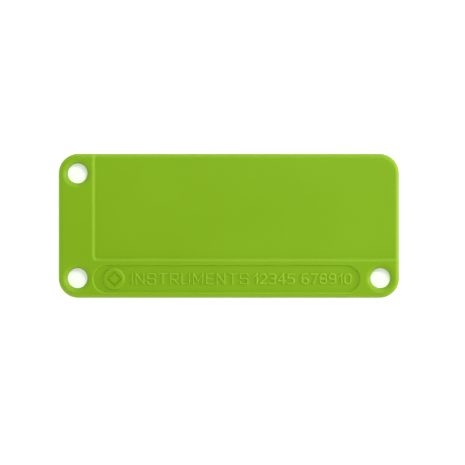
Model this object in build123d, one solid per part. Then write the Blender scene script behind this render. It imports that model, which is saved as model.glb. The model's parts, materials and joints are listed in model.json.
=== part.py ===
"""One-piece moulded identification tag for instrument trays.

Frame: millimetres, origin at the centre of the flat back face.
+X runs along the length, +Y towards the long edge that the label panel runs out of, +Z out of the front.
"""

from build123d import *
from math import cos, radians, sin, tan
import os

# ---- Driving dimensions ----
LENGTH = 76.0
WIDTH = 32.2
THICKNESS = 2.6
CORNER_RADIUS = 4.4
FRONT_ROUNDING = 1.05
BACK_ROUNDING = 0.5

# Tie holes, one in each corner except the one at +X, +Y
HOLE_RADIUS = 2.2
HOLE_FROM_END = 4.2
HOLE_FROM_SIDE = 4.4
FRONT_LIP = 1.2
BACK_LIP = 0.6

# Label panel, sunk below the L-shaped land and open to the +X and +Y edges
PANEL_FOOT_X = -29.85
PANEL_FOOT_Y = -7.2
PANEL_CORNER_RADIUS = 0.5
PANEL_STEP = {"depth": 0.5, "angle": 55.0, "rim": 0.9, "foot": 0.2}
PANEL_FLOOR = THICKNESS - PANEL_STEP["depth"]

# Marking recess with full-round ends, along the bottom of the land
RECESS_LEFT = -30.15
RECESS_RIGHT = 29.05
RECESS_Y = -11.85
RECESS_HALF_WIDTH = 2.9
RECESS_STEP = {"depth": 0.36, "angle": 60.0, "rim": 0.4, "foot": 0.12}
RECESS_FLOOR = THICKNESS - RECESS_STEP["depth"]

# Raised marking on the floor of the recess
MARKING_DRAFT = 30.0
DISC_X = -25.65
DISC_RADIUS = 2.5
DISC_RELIEF = 0.36
DIAMOND_SIDE = 2.7
DIAMOND_STROKE = 0.6
DIAMOND_DEPTH = 0.22
TEXT_RELIEF = 0.22
CAP_HEIGHT = 2.66
WORD = "INSTRUMENTS"
WORD_ENDS = (-21.8, 4.35)
WORD_STROKE = 0.42
NUMBER = "12345 678910"
NUMBER_ENDS = (5.2, 27.4)
NUMBER_STROKE = 0.55

# Moulding marks on the back
EJECTOR_RADIUS = 1.5
EJECTOR_DEPTH = 0.06
EJECTOR_PLACES = [(-24, 9), (24, 9), (-24, -9), (24, -9)]
GATE_RADIUS = 1.3
GATE_DEPTH = 0.25
GATE_DRAFT = 22.0
GATE_STUB_RADIUS = 0.45
GATE_STUB_HEIGHT = 0.17

OVERSIZE = 2.0  # how far a cutting tool reaches past the surface that it cuts

# ---- Characters ----
# A character has a width, in units, and its strokes. A stroke is a run of points across a box of that width
# and the cap height, then how round its inner corners are, from 0 for sharp to 1 for the roundest that fits.
# A stroke that ends where it starts is a loop.
LOW_LOOP = ([(0, 0), (1, 0), (1, 0.54), (0, 0.54), (0, 0)], 1)
HIGH_LOOP = ([(0, 0.46), (1, 0.46), (1, 1), (0, 1), (0, 0.46)], 1)
R_BOWL = ([(0, 1), (1, 1), (1, 0.44), (0, 0.44)], 0.6)
S_CURVE = ([(1, 0.78), (1, 1), (0, 1), (0, 0.5), (1, 0.5), (1, 0), (0, 0), (0, 0.22)], 0.5)
GLYPHS = {
    "E": (0.85, [([(1, 1), (0, 1), (0, 0), (1, 0)], 0), ([(0, 0.5), (0.92, 0.5)], 0)]),
    "I": (0, [([(0, 0), (0, 1)], 0)]),
    "M": (1.2, [([(0, 0), (0, 1), (0.5, 0.25), (1, 1), (1, 0)], 0)]),
    "N": (1, [([(0, 0), (0, 1), (1, 0), (1, 1)], 0)]),
    "R": (0.95, [([(0, 0), (0, 1)], 0), R_BOWL, ([(0.5, 0.44), (1, 0)], 0)]),
    "S": (0.95, [S_CURVE]),
    "T": (1, [([(0, 1), (1, 1)], 0), ([(0.5, 0), (0.5, 1)], 0)]),
    "U": (1, [([(0, 1), (0, 0), (1, 0), (1, 1)], 0.8)]),
    "0": (1, [([(0, 0), (1, 0), (1, 1), (0, 1), (0, 0)], 1)]),
    "1": (0.55, [([(0, 0.72), (1, 1), (1, 0)], 0)]),
    "2": (1, [([(0, 0.76), (0, 1), (1, 1), (1, 0.58), (0, 0), (1, 0)], [0.9, 0.9, 0.5, 0])]),
    "3": (1, [([(0, 1), (1, 1), (1, 0), (0, 0)], 0.5), ([(0.35, 0.52), (1, 0.52)], 0)]),
    "4": (1.1, [([(0.75, 0), (0.75, 1)], 0), ([(0.75, 1), (0, 0.28), (1, 0.28)], 0)]),
    "5": (1, [([(0.95, 1), (0.08, 1), (0, 0.56), (1, 0.56), (1, 0), (0, 0)], [0, 0, 0.6, 0.6])]),
    "6": (1, [LOW_LOOP, ([(0.9, 1), (0, 1), (0, 0.3)], 0.8)]),
    "7": (1, [([(0, 1), (1, 1), (0.35, 0)], 0)]),
    "8": (1, [LOW_LOOP, HIGH_LOOP]),
    "9": (1, [HIGH_LOOP, ([(0.1, 0), (1, 0), (1, 0.7)], 0.8)]),
}
LOOP_HEIGHT = 0.54  # the share of the cap height that the loops of 6, 8 and 9 take
CHARACTER_GAP = 0.5  # between neighbouring centre lines, in units
SPACE_WIDTH = 0.35


def stroke_line(points, roundness, width, height):
    """The centre line of a stroke, at its real size."""
    closed = points[0] == points[-1]
    scaled = [(x * width, y * height) for x, y in (points[:-1] if closed else points)]
    corners = len(scaled) if closed else len(scaled) - 2
    if corners == 0:
        return Wire([Line(*scaled).edge()])
    if not isinstance(roundness, list):
        roundness = [roundness] * corners
    roundest = 0.49 * min(width, LOOP_HEIGHT * height)
    return FilletPolyline(*scaled, radius=[share * roundest for share in roundness], close=closed).wire()


def raised_stroke(line, stroke):
    """What a round pen leaves along a centre line, raised with drafted sides."""
    solid = extrude(Face(line.offset_2d(stroke / 2)), TEXT_RELIEF, taper=MARKING_DRAFT)
    if line.is_closed:
        solid -= extrude(Face(line.offset_2d(-stroke / 2)), TEXT_RELIEF, taper=-MARKING_DRAFT)
    return solid


def raised_character(character, unit, height, stroke):
    """One raised character, with the lower left of its centre lines at the origin."""
    width, strokes = GLYPHS[character]
    lines = [stroke_line(points, roundness, width * unit, height) for points, roundness in strokes]
    return Part() + [raised_stroke(line, stroke) for line in lines]


def advances(text):
    """How far each character moves the next one along, in units."""
    return [(SPACE_WIDTH if c == " " else GLYPHS[c][0]) + CHARACTER_GAP for c in text]


def raised_text(text, ends, stroke):
    """A line of raised characters that fills the recess between two places along X."""
    unit = (ends[1] - ends[0] - stroke) / (sum(advances(text)) - CHARACTER_GAP)
    height = CAP_HEIGHT - stroke
    x = ends[0] + stroke / 2
    y = RECESS_Y - height / 2
    placed = []
    for character, advance in zip(text, advances(text)):
        if character != " ":
            placed.append(Pos(x, y, RECESS_FLOOR) * raised_character(character, unit, height, stroke))
        x += advance * unit
    return placed


def emblem():
    """Raised disc with a plain diamond frame sunk into it."""
    disc = extrude(Circle(DISC_RADIUS), DISC_RELIEF, taper=MARKING_DRAFT)
    inner_side = DIAMOND_SIDE - 2 * DIAMOND_STROKE
    outer = extrude(Rectangle(DIAMOND_SIDE, DIAMOND_SIDE), -DIAMOND_DEPTH, taper=MARKING_DRAFT)
    inner = extrude(Rectangle(inner_side, inner_side), -DIAMOND_DEPTH, taper=-MARKING_DRAFT)
    frame = Pos(0, 0, DISC_RELIEF) * Rot(0, 0, 45) * (outer - inner)
    return Pos(DISC_X, RECESS_Y, RECESS_FLOOR) * (disc - frame)


# ---- Steps between levels ----
def foot_reach(step):
    """How far the fillet at the foot of a step's wall reaches out over the lower level."""
    return step["foot"] * tan(radians(step["angle"] / 2))


def step_line(step):
    """The curve that climbs a step. Its wall's sharp foot would be at X = 0, and X grows towards the land."""
    slope = radians(step["angle"])
    foot = JernArc((-foot_reach(step), THICKNESS - step["depth"]), (1, 0), step["foot"], step["angle"])
    rim_reach = step["rim"] * tan(slope / 2)
    rim_start = (
        step["depth"] / tan(slope) - rim_reach * cos(slope),
        THICKNESS - rim_reach * sin(slope),
    )
    rim = JernArc(rim_start, (cos(slope), sin(slope)), step["rim"], -step["angle"])
    return Plane.XZ * Wire([foot.edge(), Line(foot @ 1, rim_start).edge(), rim.edge()])


def pocket_section(step, reach):
    """Cross-section of what a pocket takes off, from its middle line at X = -reach out to its rim."""
    line = step_line(step)
    foot = line @ 0
    rim = line @ 1
    top = THICKNESS + OVERSIZE
    rest = Polyline(rim, (rim.X, 0, top), (-reach, 0, top), (-reach, 0, foot.Z), foot)
    return Face(Wire(line.edges() + rest.edges()))


def pocket_end(section, reach, x, y):
    """Round end of a pocket: its section turned about the vertical line at the given place."""
    return Pos(x, y, 0) * revolve(Pos(reach, 0, 0) * section, Axis.Z)


def pocket_side(section, x, y, angle, length):
    """Straight side of a pocket from the given foot point. Its land lies in the angle's direction."""
    return Pos(x, y, 0) * Rot(0, 0, angle) * extrude(section, length, dir=(0, 1, 0))


def panel_cutters():
    """What lies above the label panel and its two walls."""
    reach = PANEL_CORNER_RADIUS
    section = pocket_section(PANEL_STEP, reach)
    x = PANEL_FOOT_X + reach
    y = PANEL_FOOT_Y + reach
    run_x = LENGTH / 2 + OVERSIZE - x
    run_y = WIDTH / 2 + OVERSIZE - y
    above_floor = Box(run_x, run_y, PANEL_STEP["depth"] + OVERSIZE, align=Align.MIN)
    return [
        Pos(x, y, PANEL_FLOOR) * above_floor,
        pocket_side(section, PANEL_FOOT_X, y + run_y, 180, run_y),
        pocket_side(section, x, PANEL_FOOT_Y, -90, run_x),
        pocket_end(section, reach, x, y),
    ]


def recess_cutters():
    """What lies above the floor and walls of the marking recess."""
    reach = RECESS_HALF_WIDTH
    section = pocket_section(RECESS_STEP, reach)
    left = RECESS_LEFT + reach
    right = RECESS_RIGHT - reach
    return [
        pocket_side(section, left, RECESS_Y - reach, -90, right - left),
        pocket_side(section, right, RECESS_Y + reach, 90, right - left),
        pocket_end(section, reach, left, RECESS_Y),
        pocket_end(section, reach, right, RECESS_Y),
    ]


# ---- Plate ----
def rounded_plate(height):
    """The plain tag at one thickness, with the rims of both faces rounded."""
    plate = extrude(RectangleRounded(LENGTH, WIDTH, CORNER_RADIUS), height)
    plate = fillet(plate.faces().sort_by(Axis.Z)[-1].edges(), FRONT_ROUNDING)
    return fillet(plate.faces().sort_by(Axis.Z)[0].edges(), BACK_ROUNDING)


def panel_rim_cutter():
    """What lies outside the panel's own rounded rim, which is like the land's but lower."""
    x = PANEL_FOOT_X + foot_reach(PANEL_STEP)
    y = PANEL_FOOT_Y + foot_reach(PANEL_STEP)
    low = PANEL_FLOOR - FRONT_ROUNDING
    around = Box(
        LENGTH / 2 + OVERSIZE - x, WIDTH / 2 + OVERSIZE - y, THICKNESS + OVERSIZE - low, align=Align.MIN
    )
    return Pos(x, y, low) * around - rounded_plate(PANEL_FLOOR)


def step_end_cutter():
    """Carries the panel's wall over the rounded rim, by moving the rim's cross-section up the step.

    X grows towards the land from the wall's foot, and Y towards the edge from where the rounding starts.
    """
    arc = JernArc((0, 0), (1, 0), FRONT_ROUNDING, -90)
    far = FRONT_ROUNDING + OVERSIZE
    rest = Polyline(arc @ 1, (far, -FRONT_ROUNDING), (far, OVERSIZE), (0, OVERSIZE), (0, 0))
    section = Plane.YZ * Face(Wire([arc.edge()] + rest.edges()))
    path = step_line(PANEL_STEP)
    return sweep(Pos(*(path @ 0)) * section, path, normal=(1, 0, 0))


def carve_step_ends(plate):
    """Shapes the two places where the panel's walls run out over the rim, each on a block of its own."""
    cutter = step_end_cutter()
    far = FRONT_ROUNDING + OVERSIZE
    block = Pos(-OVERSIZE, 0, -OVERSIZE) * Box(
        cutter.bounding_box().max.X + 2 * OVERSIZE, far, THICKNESS + 2 * OVERSIZE, align=Align.MIN
    )
    top_end = Pos(PANEL_FOOT_X, WIDTH / 2 - FRONT_ROUNDING, 0)
    right_end = Pos(LENGTH / 2 - FRONT_ROUNDING, PANEL_FOOT_Y, 0) * Rot(0, 0, -90)
    for own_block, own_cutter in (
        (top_end * mirror(block, Plane.YZ), top_end * mirror(cutter, Plane.YZ)),
        (right_end * block, right_end * cutter),
    ):
        carved = (plate & own_block) - own_cutter
        plate = (plate - own_block) + carved
    return plate


def hole_cutter():
    """A through hole on the Z axis, with a rounded lip on each face."""
    back = JernArc((HOLE_RADIUS + BACK_LIP, 0), (-1, 0), BACK_LIP, -90)
    front = JernArc((HOLE_RADIUS, THICKNESS - FRONT_LIP), (0, 1), FRONT_LIP, -90)
    low = (back @ 0).X
    wide = (front @ 1).X
    top = THICKNESS + OVERSIZE
    lines = [
        Polyline((0, -OVERSIZE), (low, -OVERSIZE), back @ 0),
        Line(back @ 1, front @ 0),
        Polyline(front @ 1, (wide, top), (0, top), (0, -OVERSIZE)),
    ]
    section = Plane.XZ * make_face(Curve() + [*lines, back, front])
    return revolve(section, Axis.Z)


def hole_cutters():
    """The tie holes, in three of the four corners."""
    x = LENGTH / 2 - HOLE_FROM_END
    y = WIDTH / 2 - HOLE_FROM_SIDE
    return [Pos(*place) * hole_cutter() for place in ((-x, y), (-x, -y), (x, -y))]


def back_mark_cutters():
    """Witness rings of the ejector pins, and the dimple that keeps the gate's stub below the back face."""
    ejectors = [Pos(x, y) * extrude(Circle(EJECTOR_RADIUS), EJECTOR_DEPTH) for x, y in EJECTOR_PLACES]
    dimple = extrude(Circle(GATE_RADIUS), GATE_DEPTH, taper=GATE_DRAFT)
    stub = Pos(0, 0, GATE_DEPTH - GATE_STUB_HEIGHT) * extrude(Circle(GATE_STUB_RADIUS), GATE_STUB_HEIGHT)
    return [*ejectors, dimple - stub]


def tag_plate():
    """The whole tag, one moulded solid."""
    plate = rounded_plate(THICKNESS)
    plate -= panel_cutters()
    plate -= panel_rim_cutter()
    plate = carve_step_ends(plate)
    plate -= recess_cutters()
    plate -= hole_cutters()
    plate -= back_mark_cutters()
    plate += [emblem()]
    plate += raised_text(WORD, WORD_ENDS, WORD_STROKE)
    plate += raised_text(NUMBER, NUMBER_ENDS, NUMBER_STROKE)
    return plate


if __name__ == "__main__":
    os.makedirs("parts", exist_ok=True)
    export_step(tag_plate(), "parts/tag_plate.step")
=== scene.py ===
"""Looks of the moulded instrument tag: a smooth skin over the CAD plate, its plastic, and the studio.

Metres, in the CAD's frame: +X along the length, +Y towards the edge that the label panel runs out of, and
+Z out of the front. A place on the plate is a complex number, x + iy, because its features are lines.
"""

import cmath
import json
from math import ceil, cos, pi, radians, sin, tan

import bpy
import numpy as np
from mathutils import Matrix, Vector
from mathutils.geometry import delaunay_2d_cdt
from mathutils.kdtree import KDTree


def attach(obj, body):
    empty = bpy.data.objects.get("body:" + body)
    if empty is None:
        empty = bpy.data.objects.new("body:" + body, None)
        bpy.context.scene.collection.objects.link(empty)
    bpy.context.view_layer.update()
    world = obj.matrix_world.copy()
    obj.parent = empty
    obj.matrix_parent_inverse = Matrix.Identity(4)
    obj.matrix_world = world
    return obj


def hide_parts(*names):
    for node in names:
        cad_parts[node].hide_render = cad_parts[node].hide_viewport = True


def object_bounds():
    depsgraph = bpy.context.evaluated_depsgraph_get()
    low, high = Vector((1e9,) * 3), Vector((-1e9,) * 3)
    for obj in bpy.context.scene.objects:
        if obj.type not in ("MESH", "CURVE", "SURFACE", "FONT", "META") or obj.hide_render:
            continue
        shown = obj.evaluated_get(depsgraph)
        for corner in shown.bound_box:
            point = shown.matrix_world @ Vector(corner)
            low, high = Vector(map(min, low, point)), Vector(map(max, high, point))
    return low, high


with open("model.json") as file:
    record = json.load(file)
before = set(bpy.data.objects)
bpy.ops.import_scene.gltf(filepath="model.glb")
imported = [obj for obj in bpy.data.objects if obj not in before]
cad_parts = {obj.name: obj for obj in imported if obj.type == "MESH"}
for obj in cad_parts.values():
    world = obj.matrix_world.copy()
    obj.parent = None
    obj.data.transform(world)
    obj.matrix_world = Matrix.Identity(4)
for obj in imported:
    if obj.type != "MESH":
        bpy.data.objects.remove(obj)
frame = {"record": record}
cad_low, cad_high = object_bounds()

MM = 0.001


class Step:
    """A wall between two levels, with a fillet at its foot and a rounded rim.

    Distances across it grow towards the upper level, from where its flank would meet the lower one.
    """

    def __init__(self, depth, angle, rim, foot):
        self.depth = depth
        self.angle = radians(angle)
        self.rim = rim
        self.foot = foot
        self.foot_start = -foot * tan(self.angle / 2)
        self.foot_end = self.foot_start + foot * sin(self.angle)
        self.rim_end = depth / tan(self.angle) + rim * tan(self.angle / 2)
        self.rim_start = self.rim_end - rim * sin(self.angle)

    def raised(self, distance):
        """Height over the lower level, its slope, and its wear and painted highlight, from 0 to 1."""
        on_foot = np.clip(distance - self.foot_start, 0, self.foot * sin(self.angle))
        on_rim = np.clip(self.rim_end - distance, 0, self.rim * sin(self.angle))
        below_foot = np.sqrt(self.foot**2 - on_foot**2)
        over_rim = np.sqrt(self.rim**2 - on_rim**2)
        places = [distance < self.foot_end, distance < self.rim_start]
        heights = [self.foot - below_foot, distance * tan(self.angle)]
        height = np.select(places, heights, self.depth - self.rim + over_rim)
        slope = np.select(places, [on_foot / below_foot, tan(self.angle)], on_rim / over_rim)
        # The middle of the rim gets wear and a painted highlight, which makes it paler.
        return height, slope, RIM_WEAR_AND_HIGHLIGHT * np.sin(pi * on_rim / (self.rim * sin(self.angle)))

    def sunk(self, distance):
        """The same, with the height counted down from the upper level."""
        height, slope, wear_and_highlight = self.raised(distance)
        return height - self.depth, slope, wear_and_highlight

    def raised_and_highlighted(self, distance):
        """The same as raised, but with wear and a painted highlight all over the upper level."""
        height, slope, _ = self.raised(distance)
        return height, slope, height / self.depth

    def marks(self, count):
        """Distances at which lines are drawn, so that its two arcs get a count of segments each."""
        turns = [self.angle * i / count for i in range(count + 1)]
        foot = [self.foot_start + self.foot * sin(turn) for turn in turns]
        rim = [self.rim_end - self.rim * sin(turn) for turn in reversed(turns)]
        return foot + rim


class Rim:
    """A quarter-round rim. Distances grow inwards from the edge."""

    def __init__(self, radius):
        self.radius = radius

    def sunk(self, distance):
        """Height, which is below the flat and so negative, its slope, and its wear and painted highlight.
        """
        short = np.clip(self.radius - distance, 0, self.radius)
        level = np.sqrt(np.maximum(self.radius**2 - short**2, (STEEPEST * self.radius) ** 2))
        # The middle of the rim gets wear and a painted highlight, which makes it paler.
        return level - self.radius, short / level, RIM_WEAR_AND_HIGHLIGHT * 2 * short * level / self.radius**2

    def marks(self, count):
        """Distances at which lines are drawn, without the one at the edge."""
        return [self.radius * (1 - sin(pi / 2 * i / count)) for i in range(count)]


# ---- Sizes, which are the CAD's ----
STEEPEST = 1e-4  # keeps the slope of a rim finite at its edge
LENGTH = cad_high.x - cad_low.x
WIDTH = cad_high.y - cad_low.y
THICKNESS = cad_high.z
CORNER_RADIUS = 4.4 * MM
FRONT_RIM = Rim(1.05 * MM)
BACK_RIM = Rim(0.5 * MM)
BORES = [mount for mount in frame["record"]["mounts"] if mount["kind"] == "bore"]
HOLES = [complex(*mount["pos_m"][:2]) for mount in BORES]
HOLE_RADIUS = BORES[0]["dims"]["r_mm"] * MM
FRONT_LIP = Rim(1.2 * MM)
BACK_LIP = Rim(0.6 * MM)
PANEL_CORNER = complex(-29.85, -7.2) * MM
PANEL_CORNER_RADIUS = 0.5 * MM
PANEL_STEP = Step(0.5 * MM, 55, rim=0.9 * MM, foot=0.2 * MM)
RECESS_ENDS = (-27.25 * MM, 26.15 * MM)
RECESS_Y = -11.85 * MM
RECESS_HALF_WIDTH = 2.9 * MM
RECESS_STEP = Step(0.36 * MM, 60, rim=0.4 * MM, foot=0.12 * MM)
DISC = complex(-25.65 * MM, RECESS_Y)
DISC_RADIUS = 2.5 * MM
DISC_STEP = Step(0.36 * MM, 60, rim=0.6 * MM, foot=0.1 * MM)
DIAMOND_STEP = Step(0.22 * MM, 60, rim=0.15 * MM, foot=0.04 * MM)
DIAMOND_SIDE = 2.1 * MM
DIAMOND_STROKE = 0.6 * MM
DIAMOND_ROUNDING = 0.1  # the radius of its corners, as a share of half its side
CAP_HEIGHT = 2.66 * MM
WORD = "INSTRUMENTS"
WORD_ENDS = (-21.8 * MM, 4.35 * MM)
WORD_STROKE = 0.42 * MM
NUMBER = "12345 678910"
NUMBER_ENDS = (5.2 * MM, 27.4 * MM)
NUMBER_STROKE = 0.55 * MM
TEXT_RELIEF = 0.22 * MM
TEXT_ANGLE = 60
TEXT_FOOT = 0.05 * MM
EJECTORS = [complex(x, y) * MM for x in (-24, 24) for y in (-9, 9)]
EJECTOR_RADIUS = 1.5 * MM
EJECTOR_STEP = Step(0.06 * MM, 60, rim=0.03 * MM, foot=0.02 * MM)
GATE_RADIUS = 1.3 * MM
GATE_STEP = Step(0.25 * MM, 68, rim=0.08 * MM, foot=0.08 * MM)
GATE_STUB_RADIUS = 0.45 * MM
GATE_STUB_STEP = Step(0.17 * MM, 80, rim=0.05 * MM, foot=0.04 * MM)

# ---- Looks that the CAD leaves out ----
PARTING_HEIGHT = 0.6 * MM
PARTING_HALF_WIDTH = 0.07 * MM
PARTING_RIDGE = 0.02 * MM
SINK_DEPTH = 0.012 * MM
SINK_LENGTHS = (19 * MM, 13 * MM)
SINK_PHASES = (0.7, -0.4)
RIM_WEAR_AND_HIGHLIGHT = 0.5  # how much wear and painted highlight the middle of a rounded rim gets, where the characters' tops get 1

# ---- Characters, as in the CAD ----
# A character has a width, in units, and its strokes. A stroke is a run of points across a box of that width
# and the cap height, then how round its inner corners are, from 0 for sharp to 1 for the roundest.
# A stroke that ends where it starts is a loop.
LOW_LOOP = ([(0, 0), (1, 0), (1, 0.54), (0, 0.54), (0, 0)], 1)
HIGH_LOOP = ([(0, 0.46), (1, 0.46), (1, 1), (0, 1), (0, 0.46)], 1)
R_BOWL = ([(0, 1), (1, 1), (1, 0.44), (0, 0.44)], 0.6)
S_CURVE = ([(1, 0.78), (1, 1), (0, 1), (0, 0.5), (1, 0.5), (1, 0), (0, 0), (0, 0.22)], 0.5)
GLYPHS = {
    "E": (0.85, [([(1, 1), (0, 1), (0, 0), (1, 0)], 0), ([(0, 0.5), (0.92, 0.5)], 0)]),
    "I": (0, [([(0, 0), (0, 1)], 0)]),
    "M": (1.2, [([(0, 0), (0, 1), (0.5, 0.25), (1, 1), (1, 0)], 0)]),
    "N": (1, [([(0, 0), (0, 1), (1, 0), (1, 1)], 0)]),
    "R": (0.95, [([(0, 0), (0, 1)], 0), R_BOWL, ([(0.5, 0.44), (1, 0)], 0)]),
    "S": (0.95, [S_CURVE]),
    "T": (1, [([(0, 1), (1, 1)], 0), ([(0.5, 0), (0.5, 1)], 0)]),
    "U": (1, [([(0, 1), (0, 0), (1, 0), (1, 1)], 0.8)]),
    "0": (1, [([(0, 0), (1, 0), (1, 1), (0, 1), (0, 0)], 1)]),
    "1": (0.55, [([(0, 0.72), (1, 1), (1, 0)], 0)]),
    "2": (1, [([(0, 0.76), (0, 1), (1, 1), (1, 0.58), (0, 0), (1, 0)], [0.9, 0.9, 0.5, 0])]),
    "3": (1, [([(0, 1), (1, 1), (1, 0), (0, 0)], 0.5), ([(0.35, 0.52), (1, 0.52)], 0)]),
    "4": (1.1, [([(0.75, 0), (0.75, 1)], 0), ([(0.75, 1), (0, 0.28), (1, 0.28)], 0)]),
    "5": (1, [([(0.95, 1), (0.08, 1), (0, 0.56), (1, 0.56), (1, 0), (0, 0)], [0, 0, 0.6, 0.6])]),
    "6": (1, [LOW_LOOP, ([(0.9, 1), (0, 1), (0, 0.3)], 0.8)]),
    "7": (1, [([(0, 1), (1, 1), (0.35, 0)], 0)]),
    "8": (1, [LOW_LOOP, HIGH_LOOP]),
    "9": (1, [HIGH_LOOP, ([(0.1, 0), (1, 0), (1, 0.7)], 0.8)]),
}
LOOP_HEIGHT = 0.54  # the share of the cap height that the loops of 6, 8 and 9 take
ROUNDEST = 0.49  # the largest corner radius, as a share of a loop's width or height
CHARACTER_GAP = 0.5  # between neighbouring centre lines, in units
SPACE_WIDTH = 0.35

# ---- Fineness of the skin ----
RIM_SEGMENTS = 9
STEP_SEGMENTS = 5
RELIEF_SEGMENTS = 3
CORNER_SEGMENTS = 20
PANEL_CORNER_SEGMENTS = 8
PARTING_ROWS = 9
STROKE_TURN = radians(10)
LONGEST_EDGE = 1.6 * MM
CONTOUR_CELL = 0.06 * MM
CONTOUR_EDGE = 0.3 * MM
CONTOUR_TURN = radians(14)
SETTLING_STEPS = 3
FLATTEST_GROWTH = 0.1  # keeps a settling point from leaping off where a distance hardly grows
BLEND = 0.03 * MM  # how softly strokes run into each other
FAINTEST = 1e-200  # keeps a logarithm finite far from a stroke
NUDGE = 1e-7  # for measuring the slope of a distance
MERGE = 1e-8


# ---- Distances across the features ----
def rounded_box(place, half_width, half_height, radius):
    """Signed distance from the outline of a rounded rectangle about the origin, positive outside."""
    across = np.abs(place.real) - half_width + radius
    along = np.abs(place.imag) - half_height + radius
    outside = np.hypot(np.maximum(across, 0), np.maximum(along, 0))
    return outside + np.minimum(np.maximum(across, along), 0) - radius


def outline_distance(place):
    """Distance in from the tag's outline."""
    half_length = LENGTH / 2 - PARTING_RIDGE
    half_width = WIDTH / 2 - PARTING_RIDGE
    return -rounded_box(place, half_length, half_width, CORNER_RADIUS - PARTING_RIDGE)


def panel_distance(place):
    """Distance from the feet of the label panel's two walls, towards the land."""
    left = PANEL_CORNER.real + PANEL_CORNER_RADIUS - place.real
    below = PANEL_CORNER.imag + PANEL_CORNER_RADIUS - place.imag
    outside = np.hypot(np.maximum(left, 0), np.maximum(below, 0))
    return outside + np.minimum(np.maximum(left, below), 0) - PANEL_CORNER_RADIUS


def recess_distance(place):
    """Distance from the foot of the marking recess's wall, towards the land."""
    nearest = np.clip(place.real, *RECESS_ENDS) + 1j * RECESS_Y
    return np.abs(place - nearest) - RECESS_HALF_WIDTH


def out_of_circle(centre, radius):
    """Distance out from a circle, as a function of the place."""
    return lambda place: np.abs(place - centre) - radius


def into_circle(centre, radius):
    """Distance in from a circle, as a function of the place."""
    return lambda place: radius - np.abs(place - centre)


def diamond_distance(place):
    """Distance in from both edges of the diamond's frame, which is sunk into the disc."""
    turned = (place - DISC) * cmath.exp(0.25j * pi)
    half = DIAMOND_SIDE / 2
    return DIAMOND_STROKE / 2 - np.abs(rounded_box(turned, half, half, DIAMOND_ROUNDING * half))


def sink(place):
    """A slow unevenness of the whole face, as plastic has where it shrank, never above the CAD's."""
    along = np.sin(place.real / SINK_LENGTHS[0] + SINK_PHASES[0])
    across = np.cos(place.imag / SINK_LENGTHS[1] + SINK_PHASES[1])
    return SINK_DEPTH * (along * across - 1) / 2


def as_it_is(distance):
    """A profile for a function that is a height already."""
    return distance, np.ones_like(distance), np.zeros_like(distance)


# ---- Characters as distances ----
def corner_arc(before, corner, after, radius):
    """Points round a corner of a stroke, or the corner itself if it is sharp."""
    if radius == 0:
        return [corner]
    into = (corner - before) / abs(corner - before)
    out = (after - corner) / abs(after - corner)
    turn = cmath.phase(out / into)
    start = corner - into * radius * tan(abs(turn) / 2)
    spoke = into * radius * (-1j if turn > 0 else 1j)
    count = ceil(abs(turn) / STROKE_TURN)
    return [start - spoke + spoke * cmath.exp(1j * turn * i / count) for i in range(count + 1)]


def stroke_runs(points, roundness, width, height):
    """The centre line of a stroke at its real size, as runs that are smooth from end to end."""
    closed = points[0] == points[-1]
    line = [complex(x * width, y * height) for x, y in points]
    inner = range(len(line) - 1) if closed else range(1, len(line) - 1)
    if not isinstance(roundness, list):
        roundness = [roundness] * len(inner)
    roundest = ROUNDEST * min(width, LOOP_HEIGHT * height)
    runs = [[] if closed else [line[0]]]
    for i, share in zip(inner, roundness):
        arc = corner_arc(line[i - 1 if i else -2], line[i], line[i + 1], share * roundest)
        runs[-1] += arc
        if share == 0:
            runs.append(arc)
    runs[-1].append(runs[0][0] if closed else line[-1])
    return [np.array(run) for run in runs]


def distance_to_run(place, run):
    """Distance from a chain of straight lines."""
    starts = run[:-1]
    legs = run[1:] - starts
    offset = place[..., None] - starts
    along = np.clip((offset * legs.conj()).real / np.abs(legs) ** 2, 0, 1)
    return np.abs(offset - along * legs).min(axis=-1)


def stroke_distance(runs, stroke):
    """Distance in from the edge of what a round pen leaves along some runs, as a function of the place."""

    def distance(place):
        shares = [np.exp(-distance_to_run(place, run) / BLEND) for run in runs]
        return stroke / 2 + BLEND * np.log(np.maximum(sum(shares), FAINTEST))

    return distance


def advances(text):
    """How far each character moves the next one along, in units."""
    return [(SPACE_WIDTH if c == " " else GLYPHS[c][0]) + CHARACTER_GAP for c in text]


def bead(stroke):
    """The step at the edge of a raised stroke, with a rim that rounds it right over."""
    angle = radians(TEXT_ANGLE)
    rim = (stroke / 2 - TEXT_RELIEF / tan(angle)) / tan(angle / 2)
    return Step(TEXT_RELIEF, TEXT_ANGLE, rim, TEXT_FOOT)


def characters(text, ends, stroke):
    """The characters of a line that fills the recess between two places along X.

    Each is its distance, the step at its edge, and its box.
    """
    unit = (ends[1] - ends[0] - stroke) / (sum(advances(text)) - CHARACTER_GAP)
    height = CAP_HEIGHT - stroke
    corner = complex(ends[0] + stroke / 2, RECESS_Y - height / 2)
    margin = stroke * (1 + 1j)
    placed = []
    for character, advance in zip(text, advances(text)):
        if character != " ":
            width, strokes = GLYPHS[character]
            runs = [
                run + corner
                for points, roundness in strokes
                for run in stroke_runs(points, roundness, width * unit, height)
            ]
            far = corner + complex(width * unit, height)
            box = (corner - margin, far + margin)
            placed.append((stroke_distance(runs, stroke), bead(stroke), box))
        corner += advance * unit
    return placed


# ---- Lines that the skin's edges follow ----
def circle(centre, radius, count):
    """Points evenly round a circle, anticlockwise."""
    return centre + radius * np.exp(2j * pi * np.arange(count) / count)


def between(start, end):
    """Points from one place up to another, without the last, no further apart than the longest edge."""
    count = ceil(abs(end - start) / LONGEST_EDGE)
    return [start + (end - start) * i / count for i in range(count)]


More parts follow.
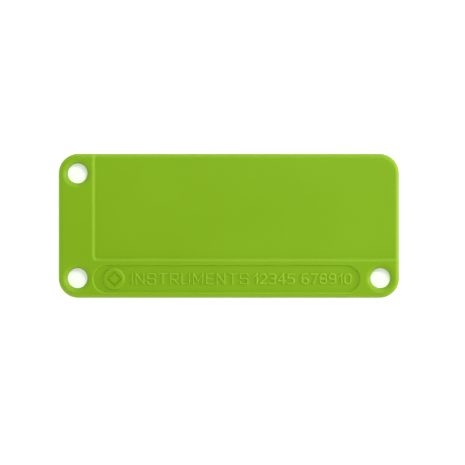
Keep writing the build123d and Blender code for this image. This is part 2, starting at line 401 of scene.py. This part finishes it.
def outline_stations():
    """Points round the outline anticlockwise from the lower right, and the outward direction at each."""
    corner = complex(LENGTH / 2 - CORNER_RADIUS, WIDTH / 2 - CORNER_RADIUS)
    radius = CORNER_RADIUS - PARTING_RIDGE
    right = corner.real + radius
    top = corner.imag + radius
    wall_ends = [PANEL_CORNER - (1 + 1j) * mark for mark in PANEL_STEP.marks(STEP_SEGMENTS)]
    right_stops = sorted(place.imag for place in wall_ends)
    top_stops = sorted((place.real for place in wall_ends), reverse=True)
    sides = [
        [complex(right, y) for y in (-corner.imag, *right_stops, corner.imag)],
        [complex(x, top) for x in (corner.real, *top_stops, -corner.real)],
        [complex(-right, corner.imag), complex(-right, -corner.imag)],
        [complex(-corner.real, -top), complex(corner.real, -top)],
    ]
    points = []
    outward = []
    for quarter, side in enumerate(sides):
        facing = 1j**quarter
        straight = [place for start, end in zip(side, side[1:]) for place in between(start, end)]
        arc = [facing * cmath.exp(0.5j * pi * i / CORNER_SEGMENTS) for i in range(CORNER_SEGMENTS)]
        centre = side[-1] - facing * radius
        points += straight + [centre + radius * spoke for spoke in arc]
        outward += [facing] * len(straight) + arc
    return np.array(points), np.array(outward)


def stadium(reach):
    """Points round the marking recess, at a distance from its middle line."""
    ends = [complex(x, RECESS_Y) for x in RECESS_ENDS]
    turns = [cmath.exp(1j * pi * (i / CORNER_SEGMENTS / 2 - 0.5)) for i in range(2 * CORNER_SEGMENTS)]
    right = [ends[1] + reach * turn for turn in turns]
    left = [ends[0] - reach * turn for turn in turns]
    above = between(ends[1] + 1j * reach, ends[0] + 1j * reach)
    below = between(ends[0] - 1j * reach, ends[1] - 1j * reach)
    return right + above + left + below


def panel_line(mark):
    """Points along the label panel's walls, from the top edge to the right one, at a mark across them."""
    centre = PANEL_CORNER + PANEL_CORNER_RADIUS * (1 + 1j)
    reach = PANEL_CORNER_RADIUS + mark
    top = complex(centre.real - reach, WIDTH / 2 - PARTING_RIDGE)
    right = complex(LENGTH / 2 - PARTING_RIDGE, centre.imag - reach)
    count = PANEL_CORNER_SEGMENTS
    arc = [centre - reach * cmath.exp(0.5j * pi * i / count) for i in range(count)]
    return between(top, centre - reach) + arc + between(centre - 1j * reach, right) + [right]


def contours(distance, box, level):
    """Closed lines on which a distance has a level, inside a box, each traced cell by cell over a grid."""
    low, high = box
    xs = np.arange(low.real, high.real, CONTOUR_CELL)
    ys = np.arange(low.imag, high.imag, CONTOUR_CELL)
    grid = xs[:, None] + 1j * ys
    values = distance(grid) - level
    inside = values > 0
    onward = {}
    filled = inside[:-1, :-1].astype(int) + inside[1:, :-1] + inside[1:, 1:] + inside[:-1, 1:]
    for i, j in np.argwhere((filled > 0) & (filled < 4)):
        corners = [(i, j), (i + 1, j), (i + 1, j + 1), (i, j + 1)]
        sides = [(corners[k], corners[(k + 1) % 4]) for k in range(4)]
        leaving = [side for side in sides if inside[side[0]] and not inside[side[1]]]
        entering = [side for side in sides if inside[side[1]] and not inside[side[0]]]
        for side in leaving:
            after = sides[sides.index(side) :] + sides[: sides.index(side)]
            onward[side] = next(other for other in after if other in entering)[::-1]
    lines = []
    while onward:
        side = next(iter(onward))
        line = []
        while side in onward:
            share = values[side[0]] / (values[side[0]] - values[side[1]])
            line.append(grid[side[0]] + share * (grid[side[1]] - grid[side[0]]))
            side = onward.pop(side)
        lines.append(settled(np.array(line), distance, level))
    return lines


def gradient(distance, place):
    """How a distance grows over the plate, with its growth along X and Y as one complex number."""
    along = distance(place + NUDGE) - distance(place - NUDGE)
    across = distance(place + 1j * NUDGE) - distance(place - 1j * NUDGE)
    return (along + 1j * across) / (2 * NUDGE)


def settled(line, distance, level):
    """A traced line moved onto its true level, with only as many points as its bends need."""
    for _ in range(SETTLING_STEPS):
        growth = gradient(distance, line)
        line = line - (distance(line) - level) * growth / np.maximum(np.abs(growth) ** 2, FLATTEST_GROWTH)
    kept = [line[0]]
    turned = 0
    heading = None
    last = line[0]
    for place in [*line[1:], line[0]]:
        leg = place - last
        if abs(leg) < CONTOUR_CELL / 4:
            continue
        turned += abs(cmath.phase(leg / heading)) if heading else 0
        run = abs(last - kept[-1])
        if run > CONTOUR_EDGE or (run > CONTOUR_CELL / 2 and turned > CONTOUR_TURN):
            kept.append(last)
            turned = 0
        heading = leg
        last = place
    return kept


class Drawing:
    """The points and edges that one face of the tag is triangulated along. Its borders come first."""

    def __init__(self, borders):
        self.points = []
        self.edges = []
        self.borders = [self.line(border) for border in borders]

    def line(self, points, closed=True):
        """Adds a chain of edges, and says which points it has."""
        first = len(self.points)
        self.points += list(points)
        numbers = list(range(first, len(self.points)))
        self.edges += zip(numbers, numbers[1:])
        if closed:
            self.edges.append((numbers[-1], numbers[0]))
        return numbers

    def fill(self):
        """Adds points over the flats, wherever no line is near."""
        lines = KDTree(len(self.points))
        for number, place in enumerate(self.points):
            lines.insert((place.real, place.imag, 0), number)
        lines.balance()
        for x in np.arange(-LENGTH / 2, LENGTH / 2, LONGEST_EDGE):
            for y in np.arange(-WIDTH / 2, WIDTH / 2, LONGEST_EDGE):
                place = complex(x, y)
                on_plate = outline_distance(place) > 0
                in_hole = any(abs(place - hole) < HOLE_RADIUS for hole in HOLES)
                if on_plate and not in_hole and lines.find((x, y, 0))[2] > LONGEST_EDGE / 2:
                    self.points.append(place)

    def triangles(self):
        """Its points, its triangles outside the holes, and its borders, as numbers of those points."""
        flat = [Vector((place.real, place.imag)) for place in self.points]
        found, _, faces, sources, _, _ = delaunay_2d_cdt(flat, self.edges, [], 0, MERGE)
        places = np.array([self.points[own[0]] if own else complex(*v) for v, own in zip(found, sources)])
        number_of = {source: number for number, own in enumerate(sources) for source in own}
        borders = [[number_of[source] for source in border] for border in self.borders]
        holes = [set(border) for border in borders[1:]]
        kept = [face for face in faces if not any(hole.issuperset(face) for hole in holes)]
        return places, kept, borders


# ---- The two faces ----
def front_features():
    """Everything on the front: a distance, the profile across it, and a box round it if it is small."""
    features = [
        (outline_distance, FRONT_RIM.sunk, None),
        (panel_distance, PANEL_STEP.sunk, None),
        (recess_distance, RECESS_STEP.sunk, None),
        (into_circle(DISC, DISC_RADIUS), DISC_STEP.raised, None),
        (diamond_distance, lowered(DIAMOND_STEP.raised), None),
        (sink, as_it_is, None),
    ]
    features += [(out_of_circle(hole, HOLE_RADIUS), FRONT_LIP.sunk, None) for hole in HOLES]
    features += [(distance, step.raised_and_highlighted, box) for distance, step, box in TEXT]
    return features


def back_features():
    """Everything on the back, in the same form, with heights counted out of the back."""
    features = [(outline_distance, BACK_RIM.sunk, None), (sink, as_it_is, None)]
    features += [(out_of_circle(hole, HOLE_RADIUS), BACK_LIP.sunk, None) for hole in HOLES]
    features += [(out_of_circle(place, EJECTOR_RADIUS), EJECTOR_STEP.sunk, None) for place in EJECTORS]
    features += [
        (out_of_circle(0, GATE_RADIUS), GATE_STEP.sunk, None),
        (into_circle(0, GATE_STUB_RADIUS), GATE_STUB_STEP.raised, None),
    ]
    return features


def lowered(profile):
    """A profile upside down. Its rims are then feet, which get no wear and no painted highlight."""

    def turned_over(distance):
        height, slope, wear_and_highlight = profile(distance)
        return -height, -slope, 0 * wear_and_highlight

    return turned_over


def surface(features, places):
    """Height of a face over its flat, its outward direction, and its wear and painted highlight at each
    point.
    """
    height = np.zeros(len(places))
    growth = np.zeros(len(places), complex)
    wear_and_highlight = np.zeros(len(places))
    for distance, profile, box in features:
        near = np.ones(len(places), bool)
        if box:
            near = (places.real > box[0].real) & (places.real < box[1].real)
            near &= (places.imag > box[0].imag) & (places.imag < box[1].imag)
        own_height, slope, own_wear_and_highlight = profile(distance(places[near]))
        height[near] += own_height
        growth[near] += slope * gradient(distance, places[near])
        wear_and_highlight[near] = np.maximum(wear_and_highlight[near], own_wear_and_highlight)
    direction = np.column_stack([-growth.real, -growth.imag, np.ones(len(places))])
    direction /= np.linalg.norm(direction, axis=1)[:, None]
    return height, direction, wear_and_highlight


def front_drawing(borders):
    """Lines over the front."""
    drawing = Drawing(borders)
    stations, outward = outline_stations()
    for mark in FRONT_RIM.marks(RIM_SEGMENTS):
        drawing.line(stations - mark * outward)
    for hole in HOLES:
        for mark in FRONT_LIP.marks(RIM_SEGMENTS):
            drawing.line(circle(hole, HOLE_RADIUS + mark, 3 * CORNER_SEGMENTS))
    for mark in PANEL_STEP.marks(STEP_SEGMENTS):
        drawing.line(panel_line(mark), closed=False)
    for mark in RECESS_STEP.marks(STEP_SEGMENTS):
        drawing.line(stadium(RECESS_HALF_WIDTH + mark))
    for mark in DISC_STEP.marks(RELIEF_SEGMENTS):
        drawing.line(circle(DISC, DISC_RADIUS - mark, 4 * CORNER_SEGMENTS))
    disc_box = (DISC - DISC_RADIUS * (1 + 1j), DISC + DISC_RADIUS * (1 + 1j))
    for distance, step, box in [(diamond_distance, DIAMOND_STEP, disc_box), *TEXT]:
        for mark in step.marks(RELIEF_SEGMENTS):
            for line in contours(distance, box, mark):
                drawing.line(line)
    drawing.fill()
    return drawing


def back_drawing(borders):
    """Lines over the back."""
    drawing = Drawing(borders)
    stations, outward = outline_stations()
    for mark in BACK_RIM.marks(RIM_SEGMENTS):
        drawing.line(stations - mark * outward)
    for hole in HOLES:
        for mark in BACK_LIP.marks(RIM_SEGMENTS):
            drawing.line(circle(hole, HOLE_RADIUS + mark, 3 * CORNER_SEGMENTS))
    for place in EJECTORS:
        for mark in EJECTOR_STEP.marks(RELIEF_SEGMENTS):
            drawing.line(circle(place, EJECTOR_RADIUS + mark, 3 * CORNER_SEGMENTS))
    for mark in GATE_STEP.marks(RELIEF_SEGMENTS):
        drawing.line(circle(0, GATE_RADIUS + mark, 3 * CORNER_SEGMENTS))
    for mark in GATE_STUB_STEP.marks(RELIEF_SEGMENTS):
        drawing.line(circle(0, GATE_STUB_RADIUS - mark, 2 * CORNER_SEGMENTS))
    drawing.fill()
    return drawing


class Skin:
    """The closed surface of the tag, gathered face by face."""

    def __init__(self):
        self.points = []
        self.directions = []
        self.wear_and_highlights = []
        self.faces = []

    def add(self, places, heights, directions, wear_and_highlight):
        """Adds points, and says what number the first one has."""
        first = len(self.points)
        self.points += list(zip(places.real, places.imag, heights))
        self.directions += list(directions)
        self.wear_and_highlights += list(wear_and_highlight)
        return first

    def strip(self, low, high, inwards=False):
        """Joins two closed rows of points, given anticlockwise as seen from the front."""
        for i in range(len(low)):
            j = (i + 1) % len(low)
            face = (low[i], low[j], high[j], high[i])
            self.faces.append(face[::-1] if inwards else face)


def parting_rows(skin, stations, outward):
    """The thin ridge round the side, where the halves of the mould meet."""
    rows = []
    for share in np.linspace(-1, 1, PARTING_ROWS):
        proud = PARTING_RIDGE * (1 + cos(pi * share)) / 2
        tilt = PARTING_RIDGE * pi * sin(pi * share) / (2 * PARTING_HALF_WIDTH)
        heights = np.full(len(stations), PARTING_HEIGHT + share * PARTING_HALF_WIDTH)
        directions = np.column_stack([outward.real, outward.imag, np.full(len(outward), tilt)])
        first = skin.add(stations + proud * outward, heights, directions, np.zeros(len(stations)))
        rows.append(range(first, first + len(stations)))
    return rows


def tag_skin():
    """The whole skin: front, back, side and the walls of the holes."""
    stations, outward = outline_stations()
    borders = [stations] + [circle(hole, HOLE_RADIUS, 3 * CORNER_SEGMENTS) for hole in HOLES]
    skin = Skin()
    edges = []
    for drawing, features, is_front in (
        (front_drawing(borders), front_features(), True),
        (back_drawing(borders), back_features(), False),
    ):
        places, triangles, own_borders = drawing.triangles()
        height, direction, wear_and_highlight = surface(features, places)
        if is_front:
            height += THICKNESS
        else:
            height *= -1
            direction[:, 2] *= -1
            triangles = [face[::-1] for face in triangles]
        first = skin.add(places, height, direction, wear_and_highlight)
        skin.faces += [[first + number for number in face] for face in triangles]
        edges.append([[first + number for number in border] for border in own_borders])
    front, back = edges
    rows = [back[0], *parting_rows(skin, stations, outward), front[0]]
    for low, high in zip(rows, rows[1:]):
        skin.strip(low, high)
    for low, high in zip(back[1:], front[1:]):
        skin.strip(low, high, inwards=True)
    return skin


def make_tag():
    """The tag's mesh, with its true directions, so that flats stay flat and arcs are smooth."""
    skin = tag_skin()
    mesh = bpy.data.meshes.new("moulded_tag")
    mesh.from_pydata(skin.points, [], skin.faces)
    mesh.shade_smooth()
    # The mask of wear also carries a painted highlight: the rims' middles and the characters' tops are
    # painted paler.
    wear_and_highlight = mesh.attributes.new("wear_and_highlight", "FLOAT", "POINT")
    wear_and_highlight.data.foreach_set("value", np.array(skin.wear_and_highlights, np.float32))
    mesh.normals_split_custom_set_from_vertices([Vector(d).normalized() for d in skin.directions])
    tag = bpy.data.objects.new("moulded_tag", mesh)
    bpy.context.scene.collection.objects.link(tag)
    return tag


# ---- Plastic ----
# Noise scales are counts per metre. The two limes are the ends of the colour's drift.
LIMES = ((0.203, 0.420, 0.0015, 1), (0.215, 0.440, 0.0035, 1))
# The paler lime is a painted highlight on the characters' tops and the middles of the rims, along with
# their wear.
WORN_AND_HIGHLIT_LIME = (0.275, 0.510, 0.016, 1)
DRIFT_SCALE = 55
DRIFT_ENDS = (0.3, 0.7)
ROUGHNESS = (0.46, 0.34)  # unworn and worn, by the mask that also carries the painted highlight
REFRACTION = 1.49
SHINE = 0.2
GRAIN_SCALE = 5200
GRAIN_STRENGTH = 0.35
GRAIN_HEIGHT = 0.006 * MM


def node(tree, kind, inputs=None, **settings):
    """A shader node, with its settings and the values of its inputs."""
    made = tree.nodes.new(kind)
    for name, value in settings.items():
        setattr(made, name, value)
    for name, value in (inputs or {}).items():
        made.inputs[name].default_value = value
    return made


def plastic():
    """Lime-green moulded plastic with a fine spark-eroded grain, smoother where it is worn, and painted
    paler there and on the characters' tops as a highlight.
    """
    material = bpy.data.materials.new("lime_plastic")
    material.use_nodes = True
    tree = material.node_tree
    tree.nodes.clear()
    link = tree.links.new
    output = node(tree, "ShaderNodeOutputMaterial")
    shader = node(tree, "ShaderNodeBsdfPrincipled", {"IOR": REFRACTION, "Specular IOR Level": SHINE})
    link(shader.outputs["BSDF"], output.inputs["Surface"])
    place = node(tree, "ShaderNodeTexCoord")
    wear_and_highlight = node(tree, "ShaderNodeAttribute", attribute_name="wear_and_highlight")

    drift = node(tree, "ShaderNodeTexNoise", {"Scale": DRIFT_SCALE, "Detail": 3, "Roughness": 0.55})
    link(place.outputs["Object"], drift.inputs["Vector"])
    colour = node(tree, "ShaderNodeValToRGB")
    for element, end, lime in zip(colour.color_ramp.elements, DRIFT_ENDS, LIMES):
        element.position = end
        element.color = lime
    link(drift.outputs["Fac"], colour.inputs["Fac"])
    # Painted highlight: mixes towards the paler lime where the mask of wear and highlight is high.
    painted_highlight_mix = node(tree, "ShaderNodeMixRGB", {"Color2": WORN_AND_HIGHLIT_LIME})
    link(wear_and_highlight.outputs["Fac"], painted_highlight_mix.inputs["Fac"])
    link(colour.outputs["Color"], painted_highlight_mix.inputs["Color1"])
    link(painted_highlight_mix.outputs["Color"], shader.inputs["Base Color"])

    matt = node(tree, "ShaderNodeMapRange", {"To Min": ROUGHNESS[0], "To Max": ROUGHNESS[1]})
    link(wear_and_highlight.outputs["Fac"], matt.inputs["Value"])
    link(matt.outputs["Result"], shader.inputs["Roughness"])

    grain = node(tree, "ShaderNodeTexNoise", {"Scale": GRAIN_SCALE, "Detail": 2, "Roughness": 0.6})
    link(place.outputs["Object"], grain.inputs["Vector"])
    bump = node(tree, "ShaderNodeBump", {"Strength": GRAIN_STRENGTH, "Distance": GRAIN_HEIGHT})
    link(grain.outputs["Fac"], bump.inputs["Height"])
    link(bump.outputs["Normal"], shader.inputs["Normal"])
    return material


# ---- Studio ----
VIEW_WIDTH = 103.6 * MM
AIM = Vector((0.8 * MM, -1.5 * MM, THICKNESS))
CAMERA_HEIGHT = 0.6
NEAREST_SEEN = 0.01
SENSOR = 36
SKY_STRENGTH = 0.497
CAMERA_OPENING = (0.90, 0.97)  # sines of the elevations between which the studio's white top turns dark
OPENING_STRENGTH = 0.02
NEUTRAL = (1, 1, 1)
WARM = (1, 0.8, 0.78)
# Each lamp has an azimuth and an elevation in degrees, a distance, a width, a height, a power and a colour.
LAMPS = {
    "key": (10, 14, 0.42, 0.2, 0.1, 1.1, WARM),
    "back": (90, 20, 0.45, 0.4, 0.2, 0.25, NEUTRAL),
    "top": (58, 64, 0.45, 0.12, 0.12, 0.84, NEUTRAL),
    "fill": (270, 17, 0.45, 0.6, 0.2, 0.43, WARM),
    "left_fill": (225, 20, 0.45, 0.4, 0.2, 0.3, NEUTRAL),
}
FLOOR_GAP = 0.02 * MM
FLOOR_SIZE = 8
OPEN_FLOOR = (0.4, 0.85)  # how much it reflects, and how much it glows
SHADED_FLOOR = (0.85, 0.43)
SHADED_MARGIN = 1.5 * MM
FLOOR_ROUGHNESS = 0.9


def make_camera():
    """Looks straight down on the front, from far enough for a long lens."""
    data = bpy.data.cameras.new("camera")
    data.sensor_width = SENSOR
    data.lens = SENSOR * CAMERA_HEIGHT / VIEW_WIDTH
    data.clip_start = NEAREST_SEEN
    camera = bpy.data.objects.new("camera", data)
    camera.location = AIM + Vector((0, 0, CAMERA_HEIGHT))
    bpy.context.scene.collection.objects.link(camera)
    bpy.context.scene.camera = camera


def table_white(name, reflection, glow):
    """Matt white that glows a little, as a lit table does."""
    material = bpy.data.materials.new(name)
    material.use_nodes = True
    shader = material.node_tree.nodes["Principled BSDF"]
    shader.inputs["Base Color"].default_value = (reflection, reflection, reflection, 1)
    shader.inputs["Roughness"].default_value = FLOOR_ROUGHNESS
    shader.inputs["Specular IOR Level"].default_value = 0
    shader.inputs["Emission Color"].default_value = (1, 1, 1, 1)
    shader.inputs["Emission Strength"].default_value = glow
    return material


def make_floor():
    """A plain white table. It glows less under the tag, which shades it, so that the holes have depth."""
    far = complex(FLOOR_SIZE, FLOOR_SIZE) / 2
    near = complex(LENGTH / 2 - SHADED_MARGIN, WIDTH / 2 - SHADED_MARGIN)
    corners = [
        (sign_x * half.real, sign_y * half.imag, 0)
        for half in (near, far)
        for sign_x, sign_y in ((-1, -1), (1, -1), (1, 1), (-1, 1))
    ]
    around = [(i, (i + 1) % 4, (i + 1) % 4 + 4, i + 4)[::-1] for i in range(4)]
    mesh = bpy.data.meshes.new("floor")
    mesh.from_pydata(corners, [], [(0, 1, 2, 3), *around])
    mesh.materials.append(table_white("shaded_table", *SHADED_FLOOR))
    mesh.materials.append(table_white("open_table", *OPEN_FLOOR))
    for face in mesh.polygons[1:]:
        face.material_index = 1
    floor = bpy.data.objects.new("floor", mesh)
    floor.location.z = cad_low.z - FLOOR_GAP
    bpy.context.scene.collection.objects.link(floor)


def make_sky():
    """A white studio all round, with a dark opening overhead for the camera."""
    world = bpy.data.worlds.new("studio")
    world.use_nodes = True
    tree = world.node_tree
    background = tree.nodes["Background"]
    background.inputs["Color"].default_value = (1, 1, 1, 1)
    direction = node(tree, "ShaderNodeTexCoord")
    parts = node(tree, "ShaderNodeSeparateXYZ")
    ends = {"From Min": CAMERA_OPENING[0], "From Max": CAMERA_OPENING[1]}
    strengths = {"To Min": SKY_STRENGTH, "To Max": OPENING_STRENGTH}
    strength = node(tree, "ShaderNodeMapRange", {**ends, **strengths}, interpolation_type="SMOOTHSTEP")
    tree.links.new(direction.outputs["Generated"], parts.inputs["Vector"])
    tree.links.new(parts.outputs["Z"], strength.inputs["Value"])
    tree.links.new(strength.outputs["Result"], background.inputs["Strength"])
    bpy.context.scene.world = world


def make_lamp(name, azimuth, elevation, distance, width, height, power, colour):
    """A soft box that faces the tag."""
    data = bpy.data.lights.new(name, "AREA")
    data.shape = "RECTANGLE"
    data.size = width
    data.size_y = height
    data.energy = power
    data.color = colour
    lamp = bpy.data.objects.new(name, data)
    level = distance * cos(radians(elevation))
    lamp.location = (
        level * cos(radians(azimuth)),
        level * sin(radians(azimuth)),
        distance * sin(radians(elevation)),
    )
    lamp.rotation_mode = "QUATERNION"
    lamp.rotation_quaternion = lamp.location.to_track_quat("Z", "Y")
    lamp.visible_camera = False
    bpy.context.scene.collection.objects.link(lamp)


TEXT = characters(WORD, WORD_ENDS, WORD_STROKE) + characters(NUMBER, NUMBER_ENDS, NUMBER_STROKE)

bpy.context.scene.view_settings.view_transform = "Standard"
make_camera()
make_sky()
for lamp, setting in LAMPS.items():
    make_lamp(lamp, *setting)
make_floor()
tag = make_tag()
tag.data.materials.append(plastic())
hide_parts("tag_plate")
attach(tag, "root")
